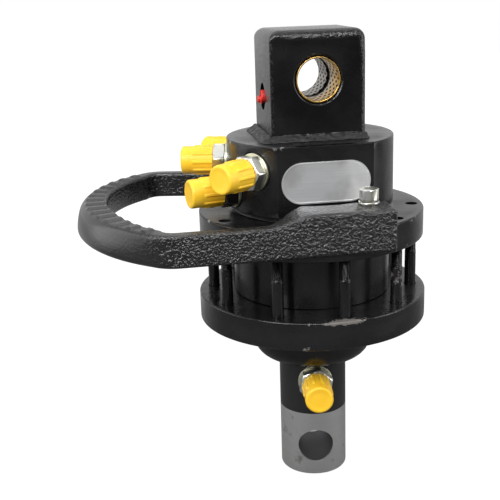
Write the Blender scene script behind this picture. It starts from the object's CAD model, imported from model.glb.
"""Dresses the hydraulic rotator: smooth turned and cast surfaces, paint, plating and plastic.

Metres, and degrees for the named angles, +Z up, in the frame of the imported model.  The data
plate's flat faces -Y and the hose guard reaches towards -X.  New surfaces are grids of rows and
columns: a row is one station of a profile or path, and the columns run round it.
"""
import math

import bpy
import numpy as np
from mathutils import Matrix, Vector


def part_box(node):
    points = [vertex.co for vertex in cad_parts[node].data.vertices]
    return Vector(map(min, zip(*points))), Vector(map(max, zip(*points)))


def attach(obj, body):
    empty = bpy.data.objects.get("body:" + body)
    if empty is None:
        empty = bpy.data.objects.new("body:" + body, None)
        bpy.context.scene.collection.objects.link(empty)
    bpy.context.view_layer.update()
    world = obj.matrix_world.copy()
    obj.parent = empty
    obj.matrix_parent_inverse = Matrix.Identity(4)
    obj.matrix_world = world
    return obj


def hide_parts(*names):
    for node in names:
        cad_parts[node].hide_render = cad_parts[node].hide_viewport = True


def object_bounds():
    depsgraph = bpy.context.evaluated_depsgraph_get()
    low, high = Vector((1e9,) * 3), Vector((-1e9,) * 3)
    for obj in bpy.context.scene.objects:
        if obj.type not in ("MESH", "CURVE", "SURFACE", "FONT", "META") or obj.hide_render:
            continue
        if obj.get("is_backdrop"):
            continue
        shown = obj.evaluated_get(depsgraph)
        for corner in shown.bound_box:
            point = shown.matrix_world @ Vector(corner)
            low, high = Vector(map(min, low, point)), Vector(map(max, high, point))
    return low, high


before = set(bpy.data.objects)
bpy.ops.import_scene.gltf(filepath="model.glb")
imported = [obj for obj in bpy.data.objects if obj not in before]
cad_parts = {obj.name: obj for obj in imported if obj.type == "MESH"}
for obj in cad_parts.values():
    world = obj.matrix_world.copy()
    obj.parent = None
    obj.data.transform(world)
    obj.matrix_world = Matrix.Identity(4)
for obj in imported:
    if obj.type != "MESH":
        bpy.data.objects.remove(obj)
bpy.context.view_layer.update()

mm = 0.001

# Camera, solved from the photograph
image_width = 500
focal_pixels = 907.66
camera_turn = 8.72
camera_tilt = 16.30
camera_roll = -1.90
camera_distance = 664.3 * mm
aim_height = 160.0 * mm
aim_right = -44.36 * mm
aim_up = 10.25 * mm

# Fineness of the round surfaces
columns_large = 240
columns_medium = 96
columns_small = 48
columns_hole = 32
columns_drilling = 24
sharp_angle = 38.0

# Lug
lug_top_radius = 7.0 * mm
lug_foot_radius = 0.6 * mm
lug_edge_radius = 3.4 * mm
lug_left_edge_radius = 1.1 * mm
lug_top_edge_radius = 5.6 * mm
lug_edge_band = 0.9 * mm
lug_columns = 384
bore_gap = 0.3 * mm
bore_mouth = 1.5 * mm
recess_radius = 9.25 * mm
recess_depth = 11.0 * mm
pockets_around = 18
pocket_pitch = 9.0 * mm
bush_rim = 29.2 * mm
nipple_hex_width = 9.0 * mm
nipple_hex_start = 6.3 * mm
nipple_hex_end = 9.8 * mm
nipple_nub_length = 2.4 * mm
nipple_nub_radius = 2.4 * mm
nipple_nub_drop = 1.8 * mm
nipple_tab_thickness = 2.6 * mm
weld_leg = 4.7 * mm
weld_lumps = 86
weld_lump_height = 0.6 * mm
weld_right_slimness = 0.55
weld_left_breadth = 0.7

# Housing
neck_height = 3.5 * mm
neck_radius = 54.0 * mm
flange_thickness = 19.5 * mm
flange_edge = 1.1 * mm
head_radius = 58.5 * mm
head_edge = 0.9 * mm
spigot_bore_radius = 24.0 * mm
bush_bore_radius = 28.35 * mm
head_roof = 7.5 * mm
hub_radius = 43.5 * mm
hub_corner_radius = 13.5 * mm
hub_fillet = 4.0 * mm
thrust_pocket_radius = 39.3 * mm
thrust_pocket_depth = 20.8 * mm
cam_small_radius = 44.5 * mm
cam_lift = 4.0 * mm
cam_lobes = 2
hole_gap = 0.3 * mm
counterbore_gap = 0.5 * mm
motor_gallery_distance = 40.0 * mm
head_port_distance = 57.0 * mm
spotface_margin = 1.0 * mm
port_bore_radius = 8.3 * mm
passage_radius = 4.0 * mm

# Shaft
shaft_edge = 1.5 * mm
shaft_bare_length = 50.0 * mm
shaft_pin_hole_radius = 13.0 * mm
shaft_pin_hole_height = 23.6 * mm
shaft_radius = 24.75 * mm
drum_radius = 43.2 * mm
collar_radius = 38.0 * mm
spigot_radius = 23.5 * mm
seal_groove_depth = 4.0 * mm
seal_gap = 0.3 * mm
vane_length = 13.8 * mm
slot_half_width = 1.8 * mm
slot_floor = 2.0 * mm
gallery_radius = 3.0 * mm
gallery_offset = 12.0 * mm
port_flat_distance = 23.05 * mm

# Bolts and screws
bolt_radius = 4.0 * mm
bolt_head_height = 8.0 * mm
bolt_head_edge = 0.6 * mm
bolt_socket_width = 6.0 * mm
bolt_socket_depth = 4.0 * mm
thread_pitch = 1.25 * mm
thread_depth = 0.55 * mm
flange_bolt_thread = 29.0 * mm
screw_thread = 15.0 * mm
head_knurls = 40
head_knurl_depth = 0.12 * mm

# Ports
hex_width = 22.0 * mm
hex_length = 8.7 * mm
hex_chamfer = 1.3 * mm
nose_radius = 7.9 * mm
nose_length = 17.5 * mm
adapter_bore_radius = 5.0 * mm
adapter_stub_radius = 8.0 * mm
adapter_stub_length = 12.0 * mm
adapter_thread_pitch = 1.5 * mm
adapter_thread_depth = 0.7 * mm
washer_bore_radius = 8.6 * mm
head_hex_turns = (4.0, 22.0, 12.0, 27.0)
shaft_hex_turns = (18.0, 5.0)
cap_radius = 9.9 * mm
cap_length = 23.0 * mm
cap_wall = 1.4 * mm
cap_end_thickness = 2.2 * mm
cap_end_radius = 1.6 * mm
cap_rib_count = 10
cap_rib_width = 7.0
cap_rib_height = 0.7 * mm
cap_rib_length = 14.5 * mm
cap_rib_fade = 1.2 * mm

# Hose guard
guard_grip_centre = np.array((-48.0, 16.0)) * mm
guard_grip_radius = 118.0 * mm
guard_front_corner_radius = 30.0 * mm
guard_front_corner_bearing = 52.7
guard_first_bearing = -90.7
guard_rear_corner_radius = 26.0 * mm
guard_rear_corner_bearing = 53.0
guard_last_bearing = 104.0
guard_bottom = 188.2 * mm
guard_bar_height = 21.6 * mm
guard_rear_bar_height = 19.6 * mm
guard_rear_rise = 4.2 * mm
guard_arm_width = 10.2 * mm
guard_grip_width = 24.5 * mm
guard_grip_lean = 5.0 * mm
guard_swell_shift = 0.11
guard_boss_width = 28.5 * mm
guard_boss_rise = 13.5 * mm
guard_boss_end = 38.5 * mm
guard_boss_start = -18.0 * mm
guard_ramp_length = 26.0 * mm
guard_arm_edge = 2.4 * mm
guard_grip_edge = 5.0 * mm
guard_rib_count = 15
guard_rib_span = 98.0
guard_rib_width = 1.9
guard_rib_height = 1.1 * mm
guard_row_step = 0.8 * mm
guard_end_rows = 2
guard_end_edge = guard_end_rows * guard_row_step
guard_seat_gap = 0.3 * mm
guard_head_gap = 1.5 * mm
guard_hole_radius = 4.5 * mm

# Paint and floor
paint_grain = 0.05 * mm
floor_gap = 0.6 * mm
flange_chip_centre = (4.7 * mm, -81.4 * mm, 142.6 * mm)
flange_chip_reach = (20.0 * mm, 8.0 * mm, 2.3 * mm)


def box_of(node):
    low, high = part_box(node)
    return np.array(low), np.array(high)


def centre_of(node):
    low, high = box_of(node)
    return (low + high) / 2


def numbered(name, count):
    return [f"{name}_{number}" for number in range(1, count + 1)]


def unit(vector):
    return vector / np.linalg.norm(vector)


def turned_frame(origin, axis, reference=(0.0, 0.0, 1.0)):
    """Frame whose third axis is the given one; rows of the result are the three axes."""
    axis = unit(np.array(axis, float))
    side = np.cross(reference, axis)
    if np.linalg.norm(side) < 1e-6:
        side = np.cross((1.0, 0.0, 0.0), axis)
    side = unit(side)
    return np.array(origin, float), np.array((side, np.cross(axis, side), axis))


def upright_at(centre, height=0.0):
    """Upright frame on the vertical through a centre, with its origin at a height."""
    return np.array((centre[0], centre[1], height)), np.eye(3)


def in_frame(points, place):
    """Points given in a frame's own axes, as world points."""
    origin, axes = place
    return points @ axes + origin


def grid_faces(rows, columns, wrap):
    """Corner indices of the quads of a grid whose columns wrap, and whose rows may too."""
    row = np.arange(rows if wrap else rows - 1)[:, None]
    column = np.arange(columns)[None, :]
    after_row = (row + 1) % rows
    after_column = (column + 1) % columns
    quads = np.stack((row * columns + column, row * columns + after_column,
                      after_row * columns + after_column, after_row * columns + column), axis=-1)
    return quads.reshape(-1, 4)


def signed_volume(points, quads, triangles):
    """Sum over the faces of a corner dotted with the cross product of the next two."""
    corners = np.concatenate((quads[:, (0, 1, 2)], quads[:, (0, 2, 3)], triangles))
    first, second, third = points[corners].transpose(1, 0, 2)
    return np.einsum("ij,ij->", first, np.cross(second, third))


def mesh_piece(name, grid, wrap=False, edge=None):
    """Closed piece from a grid of points (rows, columns, 3).

    The columns wrap.  The rows either wrap, for a bored body, or end in a disc at each end.
    The edge weights, one for each row, become the attribute that the wear follows.
    """
    rows, columns = grid.shape[:2]
    points = grid.reshape(-1, 3)
    quads = grid_faces(rows, columns, wrap)
    triangles = np.zeros((0, 3), int)
    weights = np.repeat(np.zeros(rows) if edge is None else edge, columns)
    if not wrap:
        hubs = np.array((grid[0].mean(axis=0), grid[-1].mean(axis=0)))
        first = np.arange(columns)
        after = (first + 1) % columns
        last = first + (rows - 1) * columns
        start = np.stack((np.full(columns, rows * columns), after, first), axis=-1)
        end = np.stack((np.full(columns, rows * columns + 1), last, after + (rows - 1) * columns), axis=-1)
        triangles = np.concatenate((start, end))
        points = np.concatenate((points, hubs))
        weights = np.concatenate((weights, (0.0, 0.0)))
    if signed_volume(points, quads, triangles) < 0:
        quads = quads[:, ::-1]
        triangles = triangles[:, ::-1]
    mesh = bpy.data.meshes.new(name)
    mesh.from_pydata(points.tolist(), [], quads.tolist() + triangles.tolist())
    mesh.attributes.new("edge", "FLOAT", "POINT").data.foreach_set("value", weights.astype(np.float32))
    piece = bpy.data.objects.new(name, mesh)
    bpy.context.scene.collection.objects.link(piece)
    smooth(piece)
    return piece


def smooth(piece):
    piece.data.shade_smooth()
    piece.data.set_sharp_from_angle(angle=math.radians(sharp_angle))


def cut(piece, tools, operation="DIFFERENCE"):
    """Takes each tool out of the piece, or joins it on, and keeps the result as its mesh."""
    for tool in tools:
        change = piece.modifiers.new("cut", "BOOLEAN")
        change.operation = operation
        change.solver = "EXACT"
        change.object = tool
        bpy.context.view_layer.update()
        evaluated = piece.evaluated_get(bpy.context.evaluated_depsgraph_get())
        result = bpy.data.meshes.new_from_object(evaluated)
        if not result.polygons:
            raise RuntimeError(f"the cut leaves nothing of {piece.name}")
        piece.modifiers.clear()
        old = piece.data
        old_name = old.name
        piece.data = result
        bpy.data.meshes.remove(old)
        result.name = old_name
        tool_mesh = tool.data
        bpy.data.objects.remove(tool)
        bpy.data.meshes.remove(tool_mesh)
    smooth(piece)


def rounded(corners, steps=5, wrap=False):
    """Polyline with its corners rounded; each corner is (across, along, radius).

    Returns the points and, for each, an edge weight: one on a rounding, nought elsewhere.  The
    arc starts and ends r / tan(half the corner's angle) away from the corner.
    """
    points = []
    weights = []
    count = len(corners)
    for number, (x, y, radius) in enumerate(corners):
        here = np.array((x, y))
        ends = not wrap and number in (0, count - 1)
        if radius <= 0 or ends:
            points.append(here)
            weights.append(0.0)
            continue
        before = unit(np.array(corners[number - 1][:2]) - here)
        after = unit(np.array(corners[(number + 1) % count][:2]) - here)
        half = math.acos(np.clip(before @ after, -1, 1)) / 2
        centre = here + unit(before + after) * radius / math.sin(half)
        start = here + before * radius / math.tan(half) - centre
        end = here + after * radius / math.tan(half) - centre
        sweep = math.pi - 2 * half
        for share in np.linspace(0, 1, steps + 1):
            mix = (start * math.sin((1 - share) * sweep) + end * math.sin(share * sweep)) / math.sin(sweep)
            points.append(centre + mix)
            weights.append(1.0)
    return np.array(points), np.array(weights)


def spread(points, weights, longest):
    """Adds rows so that no two stand further apart than the longest step."""
    new_points = [points[:1]]
    new_weights = [weights[:1]]
    for number in range(1, len(points)):
        gap = np.linalg.norm(points[number] - points[number - 1])
        count = max(1, int(math.ceil(gap / longest)))
        share = (np.arange(count) + 1)[:, None] / count
        new_points.append(points[number - 1] + (points[number] - points[number - 1]) * share)
        rise = np.zeros(count)
        rise[-1] = weights[number]
        new_weights.append(rise)
    return np.concatenate(new_points), np.concatenate(new_weights)


def revolve(rows, angles):
    """Grid of (r cos t, r sin t, h) for each row (r, h) and angle t; r may vary with the angle."""
    radius = np.array([reach + 0 * angles for reach, _ in rows])
    height = np.array([height for _, height in rows])[:, None] + 0 * radius
    return np.stack((radius * np.cos(angles), radius * np.sin(angles), height), axis=-1)


def round_angles(columns, extra=()):
    angles = np.arange(columns) * 2 * math.pi / columns
    return np.unique(np.concatenate((angles, np.mod(np.array(extra, float), 2 * math.pi))))


def cylinder(name, radius, start, end, place, columns=columns_small):
    rows = ((radius, start), (radius, end))
    return mesh_piece(name, in_frame(revolve(rows, round_angles(columns)), place))


def dress(piece, material, node, body):
    """Gives a finished piece its finish, and has it stand for a node of the model."""
    piece.data.materials.clear()
    piece.data.materials.append(material)
    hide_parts(node)
    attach(piece, body)


def bolt_nodes():
    return [f"flange_bolt_{number:02d}" for number in range(1, 11)]


# Finishes

def feed(tree, value, socket):
    """Links another node's output to a socket, or sets its plain number, vector or colour."""
    if isinstance(value, (int, float)):
        socket.default_value = value
    elif isinstance(value, tuple):
        socket.default_value = (*value, 1.0)[:len(socket.default_value)]
    else:
        tree.links.new(value, socket)


def add_node(tree, kind, inputs, **settings):
    """Adds a shader node, makes its settings, feeds its inputs and returns its outputs."""
    node = tree.nodes.new("ShaderNode" + kind)
    for name, value in settings.items():
        setattr(node, name, value)
    for name, value in inputs.items():
        feed(tree, value, node.inputs[name])
    return node.outputs


def add_math(tree, operation, *values):
    return add_node(tree, "Math", dict(enumerate(values)), operation=operation)[0]


def add_noise(tree, vector, scale, detail=3.0, roughness=0.5, distortion=0.0):
    inputs = {"Vector": vector, "Scale": scale, "Detail": detail, "Roughness": roughness,
              "Distortion": distortion}
    return add_node(tree, "TexNoise", inputs)["Fac"]


def add_step(tree, value, low, high):
    """Smooth ramp from nought at the low value to one at the high value."""
    inputs = {"Value": value, "From Min": low, "From Max": high}
    return add_node(tree, "MapRange", inputs, interpolation_type="SMOOTHSTEP")["Result"]


def mix_value(tree, mask, first, second, kind="FLOAT"):
    return add_node(tree, "Mix", {"Factor": mask, "A": first, "B": second}, data_type=kind)["Result"]


def mix_colour(tree, mask, first, second):
    return mix_value(tree, mask, first, second, "RGBA")


def axis_of(tree, vector, axis):
    return add_node(tree, "SeparateXYZ", {"Vector": vector})[axis]


def length_of(tree, vector):
    return add_node(tree, "VectorMath", {0: vector}, operation="LENGTH")["Value"]


def stretched(tree, vector, scale, shift=(0.0, 0.0, 0.0)):
    return add_node(tree, "Mapping", {"Vector": vector, "Location": shift, "Scale": scale})["Vector"]


def edge_weight(tree):
    """The edge attribute: one on a piece's roundings, nought elsewhere."""
    return add_node(tree, "Attribute", {}, attribute_name="edge")["Fac"]


def behind(tree, vector, low, high):
    """Ramp from nought to one between two places, or two slopes, along +Y."""
    return add_step(tree, axis_of(tree, vector, "Y"), low, high)


def new_group(name, values, outputs):
    """Shader group with a vector and named values going in, and named values coming out."""
    group = bpy.data.node_groups.new(name, "ShaderNodeTree")
    group.interface.new_socket("Vector", in_out="INPUT", socket_type="NodeSocketVector")
    for label, value in values.items():
        socket = group.interface.new_socket(label, in_out="INPUT", socket_type="NodeSocketFloat")
        socket.default_value = value
    for label in outputs:
        group.interface.new_socket(label, in_out="OUTPUT", socket_type="NodeSocketFloat")
    source = group.nodes.new("NodeGroupInput").outputs
    return group, source, group.nodes.new("NodeGroupOutput").inputs


def use_group(tree, group, place, **values):
    return add_node(tree, "Group", {"Vector": place, **values}, node_tree=group)


def make_wear_group():
    """Mask of chipped and rubbed paint: noise that the edge attribute lets through."""
    group, source, out = new_group("edge_wear", {"Amount": 0.5, "Scale": 260.0}, ("Mask",))
    broad = add_noise(group, source["Vector"], 42.0, 3.0)
    fine = add_noise(group, source["Vector"], source["Scale"], 6.0, 0.65)
    reach = add_math(group, "MULTIPLY", edge_weight(group), source["Amount"])
    level = add_math(group, "MULTIPLY", reach, add_step(group, broad, 0.35, 0.72))
    over = add_math(group, "ADD", level, fine)
    feed(group, add_step(group, over, 0.86, 0.96), out["Mask"])
    return group


def make_grain_group():
    """Height of sprayed paint, a fine orange peel over slow waves, and a mask of dust specks."""
    group, source, out = new_group("sprayed_grain", {"Scale": 700.0}, ("Height", "Dust"))
    peel = add_noise(group, source["Vector"], source["Scale"], 2.0, 0.5)
    slow = add_noise(group, source["Vector"], 90.0, 2.0, 0.5)
    specks = add_noise(group, source["Vector"], 1600.0, 2.0, 0.7)
    feed(group, add_math(group, "ADD", peel, add_math(group, "MULTIPLY", slow, 5.0)), out["Height"])
    feed(group, add_step(group, specks, 0.66, 0.74), out["Dust"])
    return group


def make_cast_group():
    """Height of a hammered casting: short worm-shaped cells, and their mask."""
    group, source, out = new_group("cast_skin", {"Scale": 620.0}, ("Height", "Cells"))
    worms = add_noise(group, source["Vector"], source["Scale"], 2.0, 0.5, 0.3)
    slow = add_noise(group, source["Vector"], 120.0, 3.0, 0.6)
    feed(group, add_math(group, "ADD", worms, add_math(group, "MULTIPLY", slow, 0.6)), out["Height"])
    feed(group, add_step(group, worms, 0.36, 0.60), out["Cells"])
    return group


def start_material(name, colour, roughness, metallic=0.0, others=()):
    """New material with its shader's plain values set; returns it, its tree and the place."""
    material = bpy.data.materials.new(name)
    material.use_nodes = True
    tree = material.node_tree
    plain = {"Base Color": colour, "Roughness": roughness, "Metallic": metallic, **dict(others)}
    for label, value in plain.items():
        feed(tree, value, tree.nodes["Principled BSDF"].inputs[label])
    return material, tree, add_node(tree, "TexCoord", {})["Object"]


def finish_material(material, colour, roughness, height, distance, metallic=None):
    """Feeds the shader what varies over the surface, and a bump of the height."""
    tree = material.node_tree
    inputs = {"Height": height, "Distance": distance, "Strength": 1.0}
    looks = {"Base Color": colour, "Roughness": roughness,
             "Normal": add_node(tree, "Bump", inputs)["Normal"]}
    if metallic is not None:
        looks["Metallic"] = metallic
    for label, value in looks.items():
        feed(tree, value, tree.nodes["Principled BSDF"].inputs[label])
    return material


def add_chip(tree, place, chips, centre, reach):
    """Adds to a mask of chips one larger chip: noise lets through an ellipsoid round its centre."""
    shift = tuple(-part / size for part, size in zip(centre, reach))
    distance = length_of(tree, stretched(tree, place, tuple(1 / size for size in reach), shift))
    torn = add_math(tree, "MULTIPLY", add_noise(tree, place, 300.0, 6.0, 0.75), 2.4)
    ragged = add_math(tree, "SUBTRACT", torn, distance)
    return add_math(tree, "MAXIMUM", chips, add_step(tree, ragged, 0.52, 0.60))


def black_paint(name, groups, wear, roughness=0.28, relief=0.3 * mm, chip=None):
    """Semi-gloss black paint with an orange peel, dust specks and edges chipped to primer."""
    material, tree, place = start_material(name, (0.005, 0.005, 0.006), roughness)
    grain = use_group(tree, groups["grain"], place)
    chips = use_group(tree, groups["wear"], place, Amount=wear)["Mask"]
    if chip:
        chips = add_chip(tree, place, chips, *chip)
    cloud = add_noise(tree, place, 30.0, 4.0)
    edge = edge_weight(tree)
    paint = mix_colour(tree, add_step(tree, cloud, 0.3, 0.75), (0.003, 0.003, 0.0035),
                       (0.007, 0.007, 0.008))
    dusty = mix_colour(tree, grain["Dust"], paint, (0.03, 0.03, 0.03))
    bare = mix_colour(tree, add_step(tree, cloud, 0.35, 0.6), (0.58, 0.57, 0.55), (0.14, 0.13, 0.12))
    gloss = mix_value(tree, add_step(tree, cloud, 0.35, 0.7), roughness - 0.06, roughness + 0.08)
    gloss = mix_value(tree, edge, gloss, 0.16)
    rough = add_math(tree, "MULTIPLY", add_noise(tree, place, 420.0, 4.0, 0.6), edge)
    height = add_math(tree, "SUBTRACT", grain["Height"], add_math(tree, "MULTIPLY", chips, 2.0))
    height = add_math(tree, "ADD", height, add_math(tree, "MULTIPLY", rough, relief / paint_grain))
    return finish_material(material, mix_colour(tree, chips, dusty, bare),
                           mix_value(tree, chips, gloss, 0.55), height, paint_grain)


def cast_paint(groups):
    """Black paint over a hammered casting, rough on the faces and calmer on the grip."""
    material, tree, place = start_material("guard_paint", (0.006, 0.006, 0.006), 0.24, 0.0,
                                           {"Specular IOR Level": 0.8})
    skin = use_group(tree, groups["cast"], place, Scale=540.0)
    chips = use_group(tree, groups["wear"], place, Amount=0.28)["Mask"]
    towards_boss = add_step(tree, axis_of(tree, place, "X"), -128 * mm, -96 * mm)
    strength = mix_value(tree, towards_boss, 0.07, 1.0)
    strength = mix_value(tree, behind(tree, place, 20 * mm, 55 * mm), strength, 0.45)
    paint = mix_colour(tree, skin["Cells"], (0.003, 0.003, 0.003), (0.008, 0.008, 0.009))
    return finish_material(material, mix_colour(tree, chips, paint, (0.30, 0.29, 0.28)),
                           mix_value(tree, towards_boss, 0.24, 0.10),
                           add_math(tree, "MULTIPLY", skin["Height"], strength), 1.9 * mm)


def plated_steel(name, colour, groups, roughness):
    """Bright zinc plate: faint clouds of passivation and fine turning marks."""
    material, tree, place = start_material(name, colour, roughness, 1.0)
    cloud = add_noise(tree, place, 130.0, 5.0, 0.6)
    warm = tuple(min(1.0, part * gain) for part, gain in zip(colour, (1.04, 1.0, 0.90)))
    dull = tuple(part * 0.72 for part in colour)
    tint = mix_colour(tree, add_step(tree, cloud, 0.38, 0.66), colour, warm)
    spots = add_step(tree, add_noise(tree, place, 520.0, 5.0, 0.7), 0.56, 0.72)
    grain = use_group(tree, groups["grain"], place, Scale=1500.0)
    return finish_material(material, mix_colour(tree, spots, tint, dull),
                           mix_value(tree, cloud, roughness - 0.05, roughness + 0.10),
                           grain["Height"], 0.012 * mm)


def ground_steel(groups):
    """Ground shaft: black paint above the paint line, bare steel with fine rings below it."""
    material, tree, place = start_material("ground_steel", (0.5, 0.5, 0.51), 0.3, 1.0)
    ripple = add_math(tree, "MULTIPLY", add_noise(tree, place, 60.0, 3.0), 0.5 * mm)
    line = add_math(tree, "ADD", axis_of(tree, place, "Z"), ripple)
    painted = add_step(tree, line, shaft_bare_length, shaft_bare_length + 0.35 * mm)
    rings = add_noise(tree, stretched(tree, place, (20.0, 20.0, 2600.0)), 1.0, 4.0, 0.6)
    smear = add_noise(tree, place, 85.0, 5.0, 0.6)
    steel = mix_colour(tree, rings, (0.66, 0.66, 0.66), (0.82, 0.82, 0.81))
    stained = mix_colour(tree, add_step(tree, smear, 0.58, 0.78), steel, (0.27, 0.26, 0.25))
    level = add_node(tree, "VectorMath", {0: place, 1: (1.0, 1.0, 0.0)}, operation="MULTIPLY")["Vector"]
    skin_only = add_step(tree, length_of(tree, level), shaft_radius - 2.2 * mm, shaft_radius - 0.9 * mm)
    stained = mix_colour(tree, skin_only, (0.12, 0.12, 0.125), stained)
    gloss = mix_value(tree, skin_only, 0.62, mix_value(tree, smear, 0.30, 0.46))
    grain = use_group(tree, groups["grain"], place)
    height = mix_value(tree, painted, add_math(tree, "MULTIPLY", rings, 0.22), grain["Height"])
    return finish_material(material, mix_colour(tree, painted, stained, (0.013, 0.013, 0.014)),
                           mix_value(tree, painted, gloss, 0.34), height, 0.04 * mm,
                           mix_value(tree, painted, 1.0, 0.0))


def moulded_plastic(name, colour, deep, groups):
    """Soft satin plastic that lets a little light in, with faint flow marks and scuffs."""
    roughness = 0.40
    material, tree, place = start_material(name, colour, roughness, 0.0, {
        "Subsurface Weight": 0.12, "Subsurface Radius": (1.0, 0.5, 0.1), "Subsurface Scale": 1.2 * mm})
    cloud = add_step(tree, add_noise(tree, place, 55.0, 3.0), 0.30, 0.8)
    scuff = add_step(tree, add_noise(tree, place, 420.0, 5.0, 0.7), 0.45, 0.7)
    grain = use_group(tree, groups["grain"], place, Scale=900.0)
    return finish_material(material, mix_colour(tree, cloud, colour, deep),
                           mix_value(tree, scuff, roughness, roughness + 0.14),
                           grain["Height"], 0.02 * mm)


def rolled_bronze(groups, bore_height):
    """Bronze bush with lozenge pockets in rows round its bore, and a grey worn sheen."""
    material, tree, place = start_material("rolled_bronze", (0.66, 0.42, 0.17), 0.32, 1.0)
    y = axis_of(tree, place, "Y")
    above = add_math(tree, "SUBTRACT", axis_of(tree, place, "Z"), bore_height)
    turn = add_math(tree, "ARCTAN2", above, axis_of(tree, place, "X"))
    around = add_math(tree, "MULTIPLY", turn, pockets_around / 2)
    along = add_math(tree, "MULTIPLY", y, math.pi / pocket_pitch)
    waves = [add_math(tree, "ABSOLUTE", add_math(tree, "COSINE", add_math(tree, operation, around, along)))
             for operation in ("ADD", "SUBTRACT")]
    lozenge = add_step(tree, add_math(tree, "MINIMUM", *waves), 0.66, 0.76)
    inside = add_step(tree, add_math(tree, "ABSOLUTE", y), bush_rim, bush_rim - 0.3 * mm)
    pocket = add_math(tree, "MULTIPLY", lozenge, inside)
    cloud = add_step(tree, add_noise(tree, place, 170.0, 4.0), 0.35, 0.7)
    fresh = mix_colour(tree, cloud, (0.86, 0.52, 0.12), (0.74, 0.50, 0.20))
    sheen = mix_colour(tree, behind(tree, place, -22 * mm, 2 * mm), fresh, (0.34, 0.32, 0.29))
    grain = use_group(tree, groups["grain"], place, Scale=1200.0)
    height = add_math(tree, "SUBTRACT", add_math(tree, "MULTIPLY", grain["Height"], 0.06), pocket)
    return finish_material(material, mix_colour(tree, pocket, sheen, (0.035, 0.025, 0.018)),
                           mix_value(tree, pocket, 0.30, 0.60), height, 0.25 * mm)


def brushed_plate():
    """Blank plate brushed along X, with a pale satin sheen."""
    material, tree, place = start_material("brushed_plate", (0.80, 0.80, 0.81), 0.36, 0.75)
    brush = add_noise(tree, stretched(tree, place, (40.0, 1500.0, 2300.0)), 1.0, 4.0, 0.65)
    cloud = add_step(tree, add_noise(tree, place, 45.0, 3.0), 0.42, 0.7)
    tint = mix_colour(tree, brush, (0.64, 0.65, 0.66), (0.86, 0.87, 0.88))
    return finish_material(material, mix_colour(tree, cloud, tint, (0.58, 0.58, 0.58)),
                           mix_value(tree, brush, 0.30, 0.46), brush, 0.015 * mm)


def soft_rubber():
    material, tree, place = start_material("soft_rubber", (0.02, 0.02, 0.02), 0.66)
    cloud = add_noise(tree, place, 300.0, 4.0)
    return finish_material(material, mix_colour(tree, cloud, (0.014, 0.014, 0.014), (0.034, 0.033, 0.032)),
                           mix_value(tree, cloud, 0.58, 0.76), cloud, 0.02 * mm)


def make_finishes():
    groups = {"wear": make_wear_group(), "grain": make_grain_group(), "cast": make_cast_group()}
    return {
        "lug": black_paint("lug_paint", groups, 0.26, 0.24, 0.6 * mm),
        "weld": black_paint("weld_paint", groups, 0.26, 0.20, 2.2 * mm),
        "housing": black_paint("housing_paint", groups, 0.36),
        "lower": black_paint("lower_paint", groups, 0.42, chip=(flange_chip_centre, flange_chip_reach)),
        "ring": black_paint("ring_paint", groups, 0.2, 0.30),
        "bolt": black_paint("bolt_paint", groups, 0.55, 0.26),
        "painted_hex": black_paint("hex_paint", groups, 0.5),
        "guard": cast_paint(groups),
        "zinc": plated_steel("zinc_plate", (0.80, 0.82, 0.79), groups, 0.28),
        "washer": plated_steel("washer_plate", (0.70, 0.70, 0.56), groups, 0.34),
        "tool": plated_steel("hardened_steel", (0.36, 0.36, 0.37), groups, 0.24),
        "shaft": ground_steel(groups),
        "yellow": moulded_plastic("yellow_plastic", (1.0, 0.62, 0.035), (0.96, 0.53, 0.02), groups),
        "red": moulded_plastic("red_plastic", (0.72, 0.03, 0.02), (0.50, 0.015, 0.01), groups),
        "bronze": rolled_bronze(groups, centre_of("front_lug_bush")[2]),
        "plate": brushed_plate(),
        "rubber": soft_rubber(),
    }


# Lug, its bushes, nipple and weld

def lug_reach(angles, inset, low, high, centre_height):
    """Distance from the bore's centre to the lug's outline, drawn in by the inset.

    The outline is a rectangle with round corners, larger at the top.  The distance is found by
    halving the range in which the rectangle's signed distance changes sign.
    """
    half_x = high[0] - inset
    half_z = (high[2] - low[2]) / 2 - inset
    middle = (high[2] + low[2]) / 2
    near = np.zeros_like(angles)
    far = np.full_like(angles, 2 * half_z)
    for _ in range(40):
        reach = (near + far) / 2
        x = reach * np.cos(angles)
        z = centre_height + reach * np.sin(angles) - middle
        radius = np.where(z > 0, lug_top_radius, lug_foot_radius)
        radius = np.maximum(radius - inset, 0.2 * mm)
        over_x = np.abs(x) - half_x + radius
        over_z = np.abs(z) - half_z + radius
        distance = np.hypot(np.maximum(over_x, 0), np.maximum(over_z, 0))
        distance += np.minimum(np.maximum(over_x, over_z), 0) - radius
        outside = distance > 0
        far = np.where(outside, reach, far)
        near = np.where(outside, near, reach)
    return (near + far) / 2


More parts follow.
